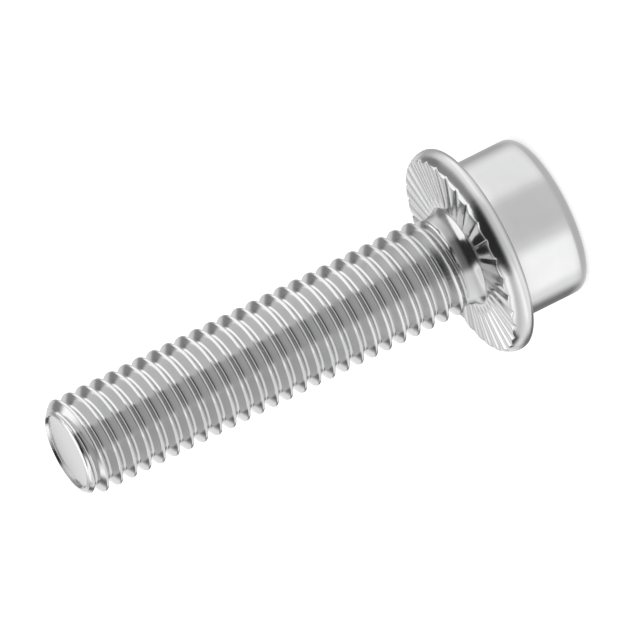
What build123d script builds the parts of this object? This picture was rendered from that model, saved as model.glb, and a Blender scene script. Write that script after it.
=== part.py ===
"""Flange bolt: round head with a hexagon socket, toothed flange, neck and threaded shank.

Millimetres. The bolt stands on its head: the top of the head lies on z = 0, the axis is Z,
and the thread points up. The threaded length is the plain cylinder round its crests.
"""

import os
from math import cos, radians, sin, tan

from build123d import *

# Head and its socket
head_diameter = 12.8
head_height = 7.85          # from the top of the head to the bearing face of the flange
head_edge_radius = 0.9
socket_across_flats = 6.0
socket_depth = 4.4
socket_point_angle = 60.0   # half angle of the drill point below the hexagon
socket_mouth_diameter = 7.3
socket_mouth_angle = 60.0   # half angle of the countersink round the hexagon

# Flange
flange_diameter = 16.8
flange_thickness = 2.1      # where it meets the head
flange_back_slope = 7.0
rim_back_radius = 0.8
bearing_diameter = 16.0     # where the bearing face meets the rim

# Teeth of the bearing face
tooth_count = 32
tooth_depth = 0.13          # height of the step at the outer end of a tooth
tooth_margin = 0.05         # between the foot of the neck and the teeth
first_tooth_angle = 1.5

# Shank
under_head_length = 34.7    # from the bearing face to the tip
neck_diameter = 7.32
neck_foot_diameter = 8.2
neck_flare_height = 0.8
tip_diameter = 6.4
tip_chamfer_length = 1.0
tip_dish_diameter = 5.2
tip_dish_depth = 0.12

# Thread, as the cylinder that its crests lie on
thread_diameter = 8.0
crest_full_height = 1.95    # above the bearing face, where the crests reach their full height
crest_fade_height = 0.55    # below that they fall to the neck over this height

bearing_level = head_height
tip_level = bearing_level + under_head_length
head_radius = head_diameter / 2
thread_radius = thread_diameter / 2
neck_radius = neck_diameter / 2


def rim_profile():
    """Back of the flange and its rim, up to the edge of the bearing face."""
    slope = radians(flange_back_slope)
    rim_radius = flange_diameter / 2
    back_end = rim_radius - rim_back_radius * (1 - sin(slope))
    back_level = bearing_level - flange_thickness + (back_end - head_radius) * tan(slope)
    widest = (rim_radius, back_level + rim_back_radius * cos(slope))
    return [
        Line((head_radius, bearing_level - flange_thickness), (back_end, back_level)),
        TangentArc(widest, (back_end, back_level), tangent=(0, -1)),
        TangentArc(widest, (bearing_diameter / 2, bearing_level), tangent=(0, 1)),
    ]


def blank_profile():
    """Half section of the bolt before the socket and the teeth are cut."""
    flare_top = bearing_level + neck_flare_height
    crest_level = bearing_level + crest_full_height
    flat_radius = head_radius - head_edge_radius
    foot = (neck_foot_diameter / 2, bearing_level)
    dish_edge = (tip_dish_diameter / 2, tip_level)
    dish_middle = (0, tip_level - tip_dish_depth)
    return [
        Line((0, 0), (flat_radius, 0)),
        JernArc((flat_radius, 0), (1, 0), head_edge_radius, 90),
        Line((head_radius, head_edge_radius), (head_radius, bearing_level - flange_thickness)),
        *rim_profile(),
        Line((bearing_diameter / 2, bearing_level), foot),
        TangentArc((neck_radius, flare_top), foot, tangent=(0, -1)),
        Polyline(
            (neck_radius, flare_top),
            (neck_radius, crest_level - crest_fade_height),
            (thread_radius, crest_level),
            (thread_radius, tip_level - tip_chamfer_length),
            (tip_diameter / 2, tip_level),
            dish_edge,
        ),
        TangentArc(dish_middle, dish_edge, tangent=(1, 0)),
        Line(dish_middle, (0, 0)),
    ]


def bolt_blank():
    return revolve(Plane.XZ * make_face(Curve() + blank_profile()), Axis.Z)


def cone_up(radius, half_angle):
    """Cone that stands on z = 0 and narrows upwards to its point."""
    height = radius / tan(radians(half_angle))
    return Cone(radius, 0, height, align=(Align.CENTER, Align.CENTER, Align.MIN))


def socket():
    """Hexagon with a drill point below it and a countersunk mouth."""
    hexagon = RegularPolygon(socket_across_flats / 2, 6, major_radius=False)
    point = Pos(0, 0, socket_depth) * cone_up(socket_across_flats / 2, socket_point_angle)
    mouth = cone_up(socket_mouth_diameter / 2, socket_mouth_angle)
    return extrude(hexagon, socket_depth) + point + mouth


def tooth_gap():
    """Space above one ramp, which falls from a ridge at angle 0 to the foot of the next step.

    The ramp is a plane through the bolt's axis, so that a tooth grows higher outwards.
    """
    pitch_angle = radians(360 / tooth_count)
    inner = neck_foot_diameter / 2 + tooth_margin
    outer = flange_diameter / 2
    across = Vector(cos(pitch_angle), sin(pitch_angle))
    sector = Polyline((inner, 0), (outer, 0), across * outer, across * inner, close=True)
    block = extrude(make_face(sector), 2 * tooth_depth, both=True)
    ridge = Vector(1, 0, 0)
    foot = across - Vector(0, 0, tooth_depth / (bearing_diameter / 2))
    ramp = Plane(origin=(0, 0, 0), x_dir=ridge, z_dir=ridge.cross(foot))
    return Pos(0, 0, bearing_level) * split(block, bisect_by=ramp, keep=Keep.TOP)


def tooth_gaps():
    step = 360 / tooth_count
    gap = tooth_gap()
    return [Rot(0, 0, first_tooth_angle + step * k) * gap for k in range(tooth_count)]


def flange_bolt():
    bolt = bolt_blank() - socket() - tooth_gaps()
    return bolt.solid()


os.makedirs("parts", exist_ok=True)
bolt = flange_bolt()
export_step(bolt, "parts/flange_bolt.step")
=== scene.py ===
import math

import bmesh
import bpy
import numpy as np
from mathutils import Matrix, Vector


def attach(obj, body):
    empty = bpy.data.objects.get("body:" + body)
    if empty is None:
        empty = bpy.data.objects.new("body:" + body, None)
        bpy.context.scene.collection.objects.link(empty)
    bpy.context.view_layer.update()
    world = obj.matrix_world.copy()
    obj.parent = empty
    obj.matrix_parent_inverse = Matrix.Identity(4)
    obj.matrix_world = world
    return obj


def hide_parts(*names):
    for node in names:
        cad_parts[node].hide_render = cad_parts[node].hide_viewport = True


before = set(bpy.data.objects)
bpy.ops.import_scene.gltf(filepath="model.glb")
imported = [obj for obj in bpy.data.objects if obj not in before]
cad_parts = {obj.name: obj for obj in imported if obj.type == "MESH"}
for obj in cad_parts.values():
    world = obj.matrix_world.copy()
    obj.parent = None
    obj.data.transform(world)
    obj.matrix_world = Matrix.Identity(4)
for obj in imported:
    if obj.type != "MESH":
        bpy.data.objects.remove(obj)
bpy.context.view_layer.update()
print("frame loaded")


# One socket with Python's operators, so that shader maths reads as an expression

class Sock:
    def __init__(self, tree, socket):
        self.tree, self.socket = tree, socket

    # adds a node: its settings first, then values or links for the sockets named
    def node(self, kind, out=0, settings=None, stops=None, **inputs):
        made = self.tree.nodes.new(kind)
        for name, value in (settings or {}).items():
            setattr(made, name, value)
        if stops:
            ramp = made.color_ramp
            while len(ramp.elements) < len(stops):
                ramp.elements.new(0.5)
            for element, (place, grey) in zip(ramp.elements, stops):
                element.position, element.color = place, (grey, grey, grey, 1)
        for name, value in inputs.items():
            numbered = name[0] == "i" and name[1:].isdigit()     # i0 is the first input, i1 the second
            target = made.inputs[int(name[1:]) if numbered else name]
            if isinstance(value, Sock):
                self.tree.links.new(value.socket, target)
            else:
                target.default_value = value
        return Sock(self.tree, made.outputs[out])

    def math(self, operation, *values):
        return self.node("ShaderNodeMath", settings={"operation": operation},
                         **{f"i{k}": value for k, value in enumerate(values)})

    def __add__(self, other): return self.math("ADD", self, other)
    def __radd__(self, other): return self.math("ADD", other, self)
    def __sub__(self, other): return self.math("SUBTRACT", self, other)
    def __rsub__(self, other): return self.math("SUBTRACT", other, self)
    def __mul__(self, other): return self.math("MULTIPLY", self, other)
    def __rmul__(self, other): return self.math("MULTIPLY", other, self)
    def __truediv__(self, other): return self.math("DIVIDE", self, other)
    def __neg__(self): return self.math("MULTIPLY", self, -1.0)

    # 0 below one value, 1 above the other, smooth between
    def step(self, low, high):
        return self.node("ShaderNodeMapRange", settings={"interpolation_type": "SMOOTHSTEP"},
                         Value=self, **{"From Min": low, "From Max": high})

    # 1 between two values, falling to 0 over a soft edge at each
    def between(self, low, high, lowSoft, highSoft):
        return self.step(low - lowSoft, low + lowSoft) * (1 - self.step(high - highSoft, high + highSoft))

    # self where the mask is 0, other where it is 1
    def toward(self, other, mask):
        return self + (other - self) * mask

    def link(self, shader, name):
        self.tree.links.new(self.socket, shader.inputs[name])


def addObject(name, data):
    made = bpy.data.objects.new(name, data)
    bpy.context.scene.collection.objects.link(made)
    return made


# Camera: straight view with no vanishing point, rolled as in the photograph

cameraLook = dict(
    tilt=16.5,               # degrees above the plane across the axis
    roll=26.5,               # degrees between the axis and the picture's level
    pictureSize=640,
    pixelsPerMm=13.2,
    bearingPixel=(458.9, 256.2),   # where the centre of the bearing face lands
    bearingLevel=7.85,
    distance=0.3,            # metres
)


# The picture's right, up and back come from the tilt and the roll. The camera then stands where the centre
# of the bearing face lands on its pixel.
def placeCamera(look):
    tilt, roll = math.radians(look["tilt"]), math.radians(look["roll"])
    right = Vector((-math.sin(roll), -math.cos(roll) * math.sin(tilt), -math.cos(roll) * math.cos(tilt)))
    up = Vector((math.cos(roll), -math.sin(roll) * math.sin(tilt), -math.sin(roll) * math.cos(tilt)))
    back = right.cross(up)
    pixel, half = 0.001 / look["pixelsPerMm"], look["pictureSize"] / 2
    across, rise = (look["bearingPixel"][0] - half) * pixel, (half - look["bearingPixel"][1]) * pixel
    middle = Vector((0, 0, look["bearingLevel"] / 1000)) - right * across - up * rise
    data = bpy.data.cameras.new("camera")
    data.type = "ORTHO"
    data.ortho_scale = look["pictureSize"] * pixel
    data.clip_start, data.clip_end = 0.001, 10
    camera = addObject("camera", data)
    turned = zip(right, up, back, (0, 0, 0))
    camera.matrix_world = Matrix((*turned, (0, 0, 0, 1)))
    camera.location = middle + back * look["distance"]
    bpy.context.scene.camera = camera


placeCamera(cameraLook)
print("camera placed")


# Bolt, in millimetres, in the solid's place. The rim, the teeth, the neck and the tip have finer forms here.

boltForm = dict(
    # head and its socket
    headRadius=6.4, headEdge=0.9, headFillet=0.12, bearing=7.85,
    socketAcross=6.0, socketDepth=4.4, socketMouthRadius=3.65, socketHalfAngle=60.0,
    # flange, and the eased edge between its rim and the teeth
    flangeThickness=2.1, flangeBackSlope=7.0, rimRadius=8.393, rimBackRadius=0.8,
    bearingRadius=7.92, bearingEdge=0.14,
    # teeth: depth at the bearing radius, where they fade towards the neck, degrees to the first ridge
    teeth=32, toothDepth=0.15, toothInner=4.15, toothFade=5.0, firstTooth=1.5,
    # a tooth's section: widths of the steep step, the rounded crest and the ramp's eased foot, where the ramp
    # starts as a multiple of the crest's width, and depths under the ridge as shares of the tooth's depth
    stepWidth=0.1, crestWidth=0.7, footEase=0.05, rampStart=1.3,
    crestDrop=0.5, rampDrops=[0, 0, 0.02, 0.96, 0.97], stepDrops=[0.97, 0.91, 0.59, 0.51],
    # neck and its flare, and the short fillet at the foot with its share of the widening
    neckRadius=3.6, neckFoot=4.1, neckFlare=1.35, footRise=0.7, footShare=0.4,
    # tip: its height over the bearing face, a sloped lip, the wall inside it and a dish
    underHead=34.7, lipDrop=0.1, lipRadius=3.05, lipDepth=0.22, dishRadius=2.94, dishDepth=0.06,
)

threadForm = dict(
    pitch=1.25, crestRadius=4.0, crestFlat=0.05, crestRound=0.06, rootRound=0.19,
    flankAngle=60,          # degrees between a flank and the axis
    grooveCentre=0.76,      # above the bearing face, where the groove passes angle 0
    # the groove's run-out at the neck, and where the outline rises from the neck to the crests
    runoutStart=1.0, runoutTurns=0.6, runoutLift=1.2,
    crestFull=1.95, crestFade=0.55,
    tipRadius=3.3, tipChamfer=0.82,
    ease=0.004, endEase=0.03,   # rounding where the groove cuts the cylinder, and where it cuts the ends
    columns=80,
    # rows over half a pitch, from a groove's middle: closer together at the root and the crest
    rowHeights=[0, 0.04, 0.08, 0.115, 0.142, 0.165, 0.2, 0.28,
                0.4, 0.5, 0.523, 0.54, 0.557, 0.575, 0.6, 0.625],
)

beside = 0.02        # millimetres from an edge to the row that keeps its shading crisp
poleRadius = 0.002   # millimetres of the first and the last ring, round the axis
mergeWithin = 4e-6   # metres between points that become one
sharpAngle = 38      # degrees between two faces, past which their edge is shaded sharp


# Points on an arc from one angle to another, both in degrees, as radius and height
def arcPoints(centre, radius, start, end, count):
    turn = np.radians(np.linspace(start, end, count))
    return np.stack([centre[0] + radius * np.cos(turn), centre[1] + radius * np.sin(turn)], 1)


# A surface of two parameters: rows of radius and height, columns of angle. Row r, column c is the point
# (radius times cos angle, radius times sin angle, height). On a closed surface the last column lies a full
# turn after the first.
def ringSurface(radius, height, angle):
    x, y = radius * np.cos(angle), radius * np.sin(angle)
    points = np.stack([x, y, height], 2).reshape(-1, 3)
    rows, columns = radius.shape
    index = np.arange(rows * columns).reshape(rows, columns)
    quads = np.stack([index[:-1, :-1], index[:-1, 1:], index[1:, 1:], index[1:, :-1]], 2).reshape(-1, 4)
    return points, quads


# Triangles between two rings with different angles. Each edge of a ring takes the point that the
# other ring has reached by the end of that edge. Both rings end a full turn after they start.
def zipRings(angleA, angleB, indexA, indexB):
    a, b = np.arange(len(angleA) - 1), np.arange(len(angleB) - 1)
    atB = np.searchsorted(angleB, angleA[1:], "right") - 1
    atA = np.searchsorted(angleA, angleB[1:], "left") - 1
    fromA = np.stack([indexA[a], indexA[a + 1], indexB[atB]], 1)
    fromB = np.stack([indexA[atA], indexB[b + 1], indexB[b]], 1)
    return np.concatenate([fromA, fromB])


# Angles of the toothed part: for each tooth the foot of the steep step, its ridge, and the ramp after it.
# The hexagon's corners and some angles between are added, so that the socket shares the columns.
def toothAngles(form):
    step, crest = form["stepWidth"], form["crestWidth"]
    pitch = 2 * np.pi / form["teeth"]
    onStep = [-step - form["footEase"], -step, -step + beside, -0.5 * step, -beside, 0]
    onRamp = [beside, 0.3 * crest, 0.65 * crest, crest, form["rampStart"] * crest, 1.05]
    inTooth = np.array(onStep + onRamp) / form["bearingRadius"]
    first = math.radians(form["firstTooth"])
    angles = (first + pitch * np.arange(form["teeth"])[:, None] + inTooth).ravel()
    angles = np.unique(np.round(np.concatenate([angles % (2 * np.pi), np.arange(36) * np.pi / 18]), 7))
    angles = angles[np.diff(np.append(angles, 2 * np.pi)) > 1e-4]
    return np.append(angles, 2 * np.pi)


# Depth under the ridge's level as a share. After the steep step it falls away by the square of the distance
# from the rounded crest, then grows evenly along the ramp, almost to 1 at the foot of the next step.
def rampShare(angles, form):
    crest, outer = form["crestWidth"], form["bearingRadius"]
    pitch = 2 * np.pi * outer / form["teeth"]
    along = (angles - math.radians(form["firstTooth"])) * outer % pitch
    foot = pitch - form["stepWidth"]
    rounded = form["crestDrop"] * np.maximum(1 - along / crest, 0) ** 2
    onRamp = [0, crest, form["rampStart"] * crest, foot - form["footEase"], foot]
    onStep = [foot, foot + beside, pitch - beside, pitch]
    ramp, steep = np.interp(along, onRamp, form["rampDrops"]), np.interp(along, onStep, form["stepDrops"])
    return np.where(along > foot, steep, rounded + ramp)


# Rows of the socket, from the point of its cone to its mouth. The radius of a wall is half the width across
# the flats over the cosine of the angle from that flat's middle. Rows close to an edge keep its shading
# crisp.
def socketRows(form, angles):
    flat, depth, mouth = form["socketAcross"] / 2, form["socketDepth"], form["socketMouthRadius"]
    slope = math.tan(math.radians(form["socketHalfAngle"]))
    wall = flat / np.cos(angles % (np.pi / 3) - np.pi / 6)
    pointRise, mouthRise = flat / slope, (mouth - wall) / slope
    return [
        (poleRadius, depth + pointRise),
        (flat * 0.5, depth + pointRise * 0.5),
        (flat * 0.985, depth + beside),
        (wall, depth),
        (wall, depth * 0.5),
        (wall, mouthRise + 0.03),
        (wall + beside, mouthRise - 0.01),
        (mouth - beside, 0.012),
        (mouth + beside, 0.0),
    ]


# Rows of the head: its flat end, the rounded edge, the side, and the small fillet to the back of the flange
def headRows(form):
    radius, edge, fillet = form["headRadius"], form["headEdge"], form["headFillet"]
    inner, back = radius - edge, form["bearing"] - form["flangeThickness"]
    rows = [(inner - 0.05, 0.0)]
    rows += list(arcPoints((inner, edge), edge, -90, 0, 14))
    rows += [(radius, height) for height in np.linspace(edge, back - fillet, 6)[1:]]
    end = 90 + form["flangeBackSlope"]
    rows += list(arcPoints((radius + fillet, back - fillet + 0.01), fillet, 180, end, 5)[1:])
    return rows


# Rows of the sloped back of the flange and its rounded rim, up to the widest circle, and that circle's height
def backRows(form):
    slope, rounding = math.radians(form["flangeBackSlope"]), form["rimBackRadius"]
    backEnd = form["rimRadius"] - rounding * (1 - math.sin(slope))
    back = form["bearing"] - form["flangeThickness"]
    backLevel = back + (backEnd - form["headRadius"]) * math.tan(slope)
    widest = backLevel + rounding * math.cos(slope)
    rows = [(backEnd - 0.3, backLevel - 0.3 * math.tan(slope))]
    start = form["flangeBackSlope"] - 90
    rows += list(arcPoints((form["rimRadius"] - rounding, widest), rounding, start, 0, 12))
    return rows, widest


# Rows of the bearing side, from the rim's widest circle to the foot of the neck. The front of the rim is an
# arc that ends where it meets the ramp at that angle. A curve eases it into the teeth, drawn towards the
# corner where they would meet. On a ramp the depth grows evenly with the radius, after a softer start.
def toothedRows(form, angles, widest):
    bearing, rim, outer, edge = form["bearing"], form["rimRadius"], form["bearingRadius"], form["bearingEdge"]
    inner, fade = form["toothInner"], form["toothFade"]
    rise, fall = bearing - widest, rim - outer
    frontRadius = (rise * rise + fall * fall) / (2 * fall)
    drop = rampShare(angles, form) * form["toothDepth"]
    topTurn = np.arcsin((rise - drop) / frontRadius)
    rows = []
    for part in np.linspace(0, 1, 10)[1:]:
        turn = (topTurn - edge / frontRadius) * part
        rows.append((rim - frontRadius * (1 - np.cos(turn)), widest + frontRadius * np.sin(turn)))
    start, corner = rows[-1], (rim - frontRadius * (1 - np.cos(topTurn)), bearing - drop)
    inside = corner[0] - edge
    end = (inside, bearing - drop * inside / outer)
    for t in (0.25, 0.5, 0.75, 1.0):
        eased = [(1 - t) ** 2 * start[k] + 2 * t * (1 - t) * corner[k] + t * t * end[k] for k in (0, 1)]
        rows.append(tuple(eased))
    for part in np.linspace(0, 1, 12)[1:]:
        radius = inside + (inner - inside) * part
        soft = np.clip((radius - inner) / (fade - inner), 0, 1)
        rows.append((radius, bearing - drop * soft * soft * (3 - 2 * soft) * radius / outer))
    return rows + [(inner - beside, bearing), (form["neckFoot"], bearing)]


# Head and flange as one surface, from the socket's point over the end, the side and the rim to the foot of
# the neck. A row is a radius and a height, each one value or one for each angle.
def headSurface(form):
    angles = toothAngles(form)
    back, widest = backRows(form)
    rows = socketRows(form, angles) + headRows(form) + back + toothedRows(form, angles, widest)
    every = np.ones(len(angles))
    return np.stack([r * every for r, z in rows]), np.stack([z * every for r, z in rows]), angles


# Height of a thread's section over its root, at a distance from the groove's middle: an arc at the root, a
# straight flank, an arc at the crest and half of the crest's flat. The depth is the crest's height.
def threadRise(away, thread):
    half, root, crest = thread["pitch"] / 2 - thread["crestFlat"], thread["rootRound"], thread["crestRound"]
    flank = math.radians(thread["flankAngle"])
    sine, cosine, slope = math.sin(flank), math.cos(flank), math.tan(flank)
    depth = half * slope - (root + crest) * (1 / cosine - 1)
    inRoot = root - np.sqrt(np.maximum(root * root - away * away, 0))
    onFlank = root * (1 - cosine) + (away - root * sine) * slope
    onCrest = depth - crest + np.sqrt(np.maximum(crest * crest - np.maximum(half - away, 0) ** 2, 0))
    return np.where(away < root * sine, inRoot, np.where(away > half - crest * sine, onCrest, onFlank)), depth


# Radius of the shank at a height and an angle. The outline is the cylinder round the crests, falling to the
# neck below and along the chamfer above. The groove runs out by rising evenly over part of a turn, and a
# smooth least value of the groove and the outline eases their edges.
def shankRadius(height, angle, form, thread):
    above, pitch = height - form["bearing"], thread["pitch"]
    neck, crest = form["neckRadius"], thread["crestRadius"]
    full, chamfer = thread["crestFull"], form["underHead"] - thread["tipChamfer"]
    outline = np.interp(above, [0, full - thread["crestFade"], full, chamfer, form["underHead"]],
                        [neck, neck, crest, crest, thread["tipRadius"]])
    turn, first = angle / (2 * np.pi), thread["grooveCentre"]
    centre = first + pitch * (np.round((above - first) / pitch - turn) + turn)
    rise, depth = threadRise(np.abs(above - centre), thread)
    lift = 1 - np.clip((centre - thread["runoutStart"]) / (thread["runoutTurns"] * pitch), 0, 1)
    groove = crest - depth + rise + thread["runoutLift"] * depth * lift
    ease = np.where(outline < crest - 1e-6, thread["endEase"], thread["ease"])
    return 0.5 * (outline + groove - np.sqrt((outline - groove) ** 2 + ease * ease))


# Rows of the neck's flare, from its foot up and closer together there. Over the neck's radius stand a slow
# curve, which falls nearly evenly with the height, and a short fillet, which falls by the square of what is
# left of it.
def flareRows(form):
    widening, share = form["neckFoot"] - form["neckRadius"], form["footShare"]
    part = np.linspace(0, 1, 12)[:-1, None] ** 1.5
    filletPart = np.maximum(1 - part * form["neckFlare"] / form["footRise"], 0)
    flareShare = (1 - share) * (1 - part) ** 1.1 + share * filletPart ** 2
    return form["neckRadius"] + widening * flareShare, form["bearing"] + form["neckFlare"] * part


# Rows of the end face, from the chamfer's edge to the axis: a lip that slopes up evenly, a short steep wall
# inside it, and the dish, whose depth grows by the square towards the middle
def tipRows(form, edge):
    top, lip, dish = form["bearing"] + form["underHead"], form["lipRadius"], form["dishRadius"]
    high, floor, upTo = top - form["lipDrop"], top - form["lipDepth"], 0.92
    part = np.array([[0.08], [0.5], [upTo], [1.0]])
    lipRows = (edge + (lip + 0.03 - edge) * part, high + form["lipDrop"] * np.minimum(part / upTo, 1))
    wallRows = (np.array([[lip], [dish + beside], [dish - beside]]),
                np.array([[top - beside], [floor + beside], [floor - 0.002]]))
    part = np.linspace(0.05, 1, 9)[:, None]
    dishRows = (dish * (1 - part) + poleRadius * part, floor - form["dishDepth"] * (1 - (1 - part) ** 2))
    return [lipRows, wallRows, dishRows]


# Neck, thread and end face as one surface. The thread's rows follow the helix: each rises by a pitch in a
# turn, and is held between the flare and the lip.
def shankSurface(form, thread):
    columns, pitch = thread["columns"], thread["pitch"]
    angles = np.arange(columns + 1) * 2 * np.pi / columns
    low = form["bearing"] + form["neckFlare"]
    high = form["bearing"] + form["underHead"] - form["lipDrop"]
    half = np.array(thread["rowHeights"])
    inPitch = np.concatenate([-half[-2:0:-1], half])
    turns = np.arange(-2, math.ceil((high - low) / pitch) + 3)
    rows = (low + pitch * turns[:, None] + inPitch).ravel()
    shift = thread["grooveCentre"] - form["neckFlare"]
    height = np.clip(rows[:, None] + shift + pitch * angles / (2 * np.pi), low, high)
    radius = shankRadius(height, np.broadcast_to(angles, height.shape), form, thread)
    radius = np.where(height <= low + 1e-6, form["neckRadius"], radius)
    bands = [flareRows(form), (radius, height)] + tipRows(form, radius[-1])
    every = np.ones(columns + 1)
    radius = np.concatenate([r * every for r, z in bands])
    height = np.concatenate([z * every for r, z in bands])
    return radius, height, angles


# A closed mesh: doubles are merged, faces without area removed, and the rest turned outwards
def makeMesh(name, points, polygons):
    mesh = bpy.data.meshes.new(name)
    mesh.from_pydata(points.tolist(), [], polygons)
    work = bmesh.new()
    work.from_mesh(mesh)
    bmesh.ops.remove_doubles(work, verts=work.verts, dist=mergeWithin)
    bmesh.ops.dissolve_degenerate(work, edges=work.edges, dist=1e-7)
    bmesh.ops.recalc_face_normals(work, faces=work.faces)
    openEdges = sum(1 for e in work.edges if not e.is_manifold)
    work.to_mesh(mesh)
    work.free()
    print(name, "polygons", len(mesh.polygons), "open edges", openEdges)
    return mesh


# The head's surface and the shank's, a strip that joins them at the foot of the neck, and a fan at each pole
def makeBolt(form, thread):
    radius, height, angles = headSurface(form)
    headPoints, headQuads = ringSurface(radius, height, angles)
    radius, height, shankAngles = shankSurface(form, thread)
    shankPoints, shankQuads = ringSurface(radius, height, shankAngles)
    start, headCount, shankCount = len(headPoints), len(angles), len(shankAngles)
    end = start + len(shankPoints)
    # the head's last ring and the shank's first lie on one circle, so the strip between them is a hair wide
    shankPoints[:shankCount, :2] *= (form["neckFoot"] - beside) / form["neckFoot"]
    shankPoints[:shankCount, 2] += 0.01
    joint = zipRings(angles, shankAngles, np.arange(start - headCount, start), start + np.arange(shankCount))
    poles = [[0, 0, headPoints[0, 2]], [0, 0, shankPoints[-1, 2]]]
    points = np.concatenate([headPoints, shankPoints, poles]) / 1000
    a, b = np.arange(headCount - 1), end - shankCount + np.arange(shankCount - 1)
    headFan = np.stack([np.full(len(a), end), a + 1, a], 1)
    tipFan = np.stack([np.full(len(b), end + 1), b, b + 1], 1)
    polygons = []
    for faces in (headQuads, shankQuads + start, joint, headFan, tipFan):
        polygons += faces.tolist()
    mesh = makeMesh("bolt_body", points, polygons)
    mesh.shade_smooth()
    mesh.set_sharp_from_angle(angle=math.radians(sharpAngle))
    return addObject("bolt_body", mesh)


# Finish: bright plated steel, with soft clouds in its grey and a fine grain

finishLook = dict(
    grey=0.5, greySpread=0.03, blueShare=1.005,
    roughness=0.17, roughnessSpread=0.05,
    cloudSize=2.2,           # millimetres between the cloudy changes
    grainSize=0.12, grainBump=0.012,
    grainHeight=0.0002,      # metres
)


def makeFinish(name, look):
    material = bpy.data.materials.new(name)
    material.use_nodes = True
    tree = material.node_tree
    shader = tree.nodes["Principled BSDF"]
    shader.inputs["Metallic"].default_value = 1.0
    place = Sock(tree, tree.nodes.new("ShaderNodeTexCoord").outputs["Object"])

    # noise of a size in millimetres
    def noise(size, **settings):
        return place.node("ShaderNodeTexNoise", Vector=place, Scale=1000 / size, **settings)

    cloud = noise(look["cloudSize"], Detail=3.0, Roughness=0.5)
    grain = noise(look["grainSize"], Detail=2.0, Roughness=0.6)
    grey = look["grey"] + (cloud - 0.5) * (2 * look["greySpread"])
    colour = place.node("ShaderNodeCombineColor", Red=grey, Green=grey, Blue=grey * look["blueShare"])
    colour.link(shader, "Base Color")
    spread = look["roughnessSpread"]
    rough = look["roughness"] + (cloud - 0.5) * spread + (grain - 0.5) * spread
    rough.link(shader, "Roughness")
    strength, height = look["grainBump"], look["grainHeight"]
    bump = place.node("ShaderNodeBump", Height=grain, Strength=strength, Distance=height)
    bump.link(shader, "Normal")
    return material


bolt = makeBolt(boltForm, threadForm)
bolt.data.materials.append(makeFinish("bright_steel", finishLook))
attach(bolt, "root")
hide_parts("flange_bolt")
print("bolt made")


# Studio: a white tent with a dark opening on the camera's side. Angles in degrees; the side angle is 0
# towards the camera, positive towards +X.

studioLook = dict(
    power=1.24,              # of the tent that the metal mirrors, over the background's
    # brightness by height above the horizon in each quarter
    rear=[
        (-90, 0.6), (-60, 0.7), (-48, 0.42), (-2, 0.5), (5, 0.7), (13, 1.05), (18, 1.0), (23, 0.62),
        (28, 0.62), (34, 0.88), (39, 0.95), (45, 1.75), (62, 1.75), (74, 0.55), (90, 0.5),
    ],
    keySide=[
        (-90, 0.9), (-75, 1.15), (-60, 1.25), (-46, 1.2), (-36, 1.15), (-26, 1.12), (-8, 1.15), (4, 0.95),
        (15, 0.78), (24, 0.88), (32, 1.45), (45, 1.55), (52, 1.15), (60, 0.42), (70, 0.2), (80, 0.4),
        (90, 0.5),
    ],
    farSide=[
        (-90, 0.9), (-60, 1.05), (-46, 1.2), (-36, 1.4), (-25, 1.45), (-19, 1.22), (-12, 1.18), (-4, 1.05),
        (4, 0.62), (14, 0.38), (30, 0.34), (40, 0.5), (50, 0.75), (60, 0.7), (76, 0.55), (90, 0.5),
    ],
    front=[
        (-90, 0.9), (-62, 0.95), (-44, 1.02), (-30, 0.88), (-16, 0.83), (-5, 0.72), (3, 0.3), (11, 0.07),
        (20, 0.02), (75, 0.02), (84, 0.4), (90, 0.5),
    ],
    # where each quarter begins and ends round the axis: two angles, and the width of the change at each
    keySideEnds=(-150, 0, 8, 8),
    farSideEnds=(0, 130, 8, 20),
    frontEnds=(-40, 46, 10, 12),
    # panels in front of the tent: their edges, the width of the change and the brightness
    panels=[
        dict(side=(-90, -32), rise=(-25, -4), sideSoft=24, riseSoft=6, value=1.25),
        dict(side=(-104, -38), rise=(-23, -8), sideSoft=10, riseSoft=5, value=1.48),
        dict(side=(-175, -130), rise=(-50, -8), sideSoft=14, riseSoft=8, value=0.2),
        dict(side=(-190, -154), rise=(-12, 10), sideSoft=5, riseSoft=5, value=0.92),
        dict(side=(-157, -126), rise=(7, 36), sideSoft=4, riseSoft=5, value=0.1),
        dict(side=(112, 150), rise=(2, 24), sideSoft=8, riseSoft=6, value=0.27),
        dict(side=(152, 173), rise=(-8, 16), sideSoft=4, riseSoft=4, value=0.8),
        dict(side=(143, 163), rise=(18, 42), sideSoft=4, riseSoft=5, value=0.27),
    ],
)


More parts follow.
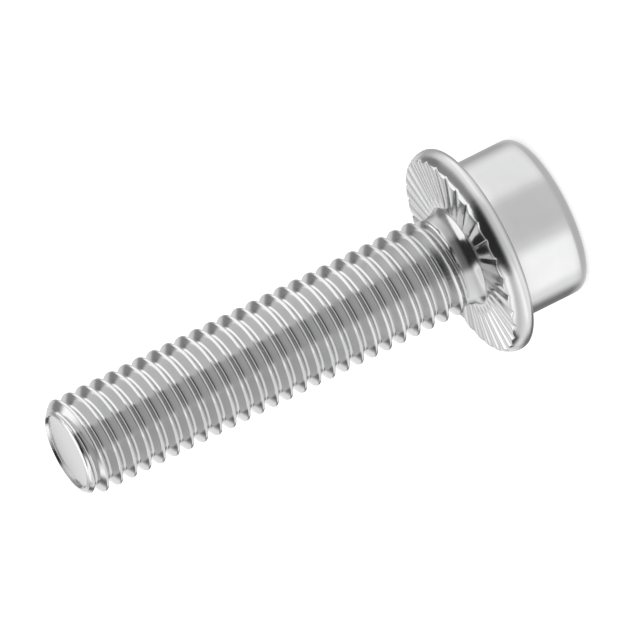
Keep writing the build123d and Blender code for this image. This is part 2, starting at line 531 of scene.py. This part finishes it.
# The brightness of a direction is its quarter's value at that height, with the panels laid over it. Only
# what the metal mirrors sees the tent: the camera and the floor see plain white.
def makeStudio(look):
    world = bpy.data.worlds.new("studio")
    bpy.context.scene.world = world
    world.use_nodes = True
    tree = world.node_tree
    background = tree.nodes["Background"]
    background.inputs["Color"].default_value = (1, 1, 1, 1)
    direction = Sock(tree, tree.nodes.new("ShaderNodeTexCoord").outputs["Generated"])
    parts = tree.nodes.new("ShaderNodeSeparateXYZ")
    direction.link(parts, "Vector")
    x, y, z = (Sock(tree, parts.outputs[k]) for k in range(3))
    degree = 180 / math.pi
    side = x.math("ARCTAN2", x, -y) * degree
    rise = z.math("ARCSINE", z) * degree
    share = rise / 180 + 0.5

    # brightness along a list of heights, through one ramp that holds half of each value
    def byHeight(name):
        stops = [((height + 90) / 180, value / 2) for height, value in look[name]]
        return share.node("ShaderNodeValToRGB", stops=stops, Fac=share) * 2

    light = byHeight("rear")
    for name in ("keySide", "farSide", "front"):
        light = light.toward(byHeight(name), side.between(*look[name + "Ends"]))
    for panel in look["panels"]:
        sideSoft, riseSoft = panel["sideSoft"], panel["riseSoft"]
        across = side.between(*panel["side"], sideSoft, sideSoft)
        mask = across * rise.between(*panel["rise"], riseSoft, riseSoft)
        light = light.toward(panel["value"], mask)
    glossy = Sock(tree, tree.nodes.new("ShaderNodeLightPath").outputs["Is Glossy Ray"])
    strength = 1.0 + (light * look["power"] - 1.0) * glossy
    strength.link(background, "Strength")


# Material with no gloss that glows white, and its shader
def makeGlow(name, grey, brightness):
    material = bpy.data.materials.new(name)
    material.use_nodes = True
    shader = material.node_tree.nodes["Principled BSDF"]
    shader.inputs["Base Color"].default_value = (grey, grey, grey, 1)
    shader.inputs["Roughness"].default_value = 1.0
    shader.inputs["Specular IOR Level"].default_value = 0.0
    shader.inputs["Emission Color"].default_value = (1, 1, 1, 1)
    shader.inputs["Emission Strength"].default_value = brightness
    return material, shader


floorLook = dict(
    size=2.0,                # metres from the middle to an edge
    grey=0.8,
    glow=0.5,                # that only the camera sees, so that the floor meets the white background
)


# The metal mirrors the tent instead of the floor, and the floor keeps the shadow
def makeFloor(look):
    size = look["size"]
    mesh = bpy.data.meshes.new("floor")
    corners = [(-size, -size, 0), (size, -size, 0), (size, size, 0), (-size, size, 0)]
    mesh.from_pydata(corners, [], [(0, 1, 2, 3)])
    floor = addObject("floor", mesh)
    material, shader = makeGlow("floor", look["grey"], look["glow"])
    tree = material.node_tree
    seen = Sock(tree, tree.nodes.new("ShaderNodeLightPath").outputs["Is Camera Ray"])
    (seen * look["glow"]).link(shader, "Emission Strength")
    mesh.materials.append(material)
    floor.visible_glossy = False


# Cards that only the metal mirrors, as rings or strips round the axis. Each lists its two edges as radius
# and height, its side angles, its brightness, and the radii between which it fades out.

cardLook = dict(
    underHead=dict(edges=((0.5, -0.2), (10.5, -0.2)), side=(-180, 180), brightness=0.86, fade=(6.9, 10.3)),
    farSide=dict(edges=((14, 13.5), (14, 48)), side=(30, 116), brightness=1.86),
    keySide=dict(edges=((14, 15), (14, 48)), side=(-124, -42), brightness=1.3),
)


def makeCard(name, edges, side, brightness, fade=None):
    turn = np.radians(np.linspace(side[0], side[1], 49)) - np.pi / 2
    radius, height = (np.array(edges)[:, k, None] * np.ones(len(turn)) / 1000 for k in (0, 1))
    points, quads = ringSurface(radius, height, turn)
    mesh = bpy.data.meshes.new(name)
    mesh.from_pydata(points.tolist(), [], quads.tolist())
    card = addObject(name, mesh)
    material, shader = makeGlow(name, 0, brightness)
    if fade:
        tree = material.node_tree
        place = Sock(tree, tree.nodes.new("ShaderNodeTexCoord").outputs["Object"])
        radius = place.node("ShaderNodeVectorMath", out=1, settings={"operation": "LENGTH"}, i0=place) * 1000
        glow, clear = Sock(tree, shader.outputs[0]), place.node("ShaderNodeBsdfTransparent")
        mixed = place.node("ShaderNodeMixShader", i0=radius.step(*fade), i1=glow, i2=clear)
        mixed.link(tree.nodes["Material Output"], "Surface")
    mesh.materials.append(material)
    card.visible_camera = card.visible_diffuse = card.visible_shadow = False


makeStudio(studioLook)
makeFloor(floorLook)
for name, look in cardLook.items():
    makeCard("card_" + name, **look)
bpy.context.scene.view_settings.view_transform = "Standard"
print("studio made")
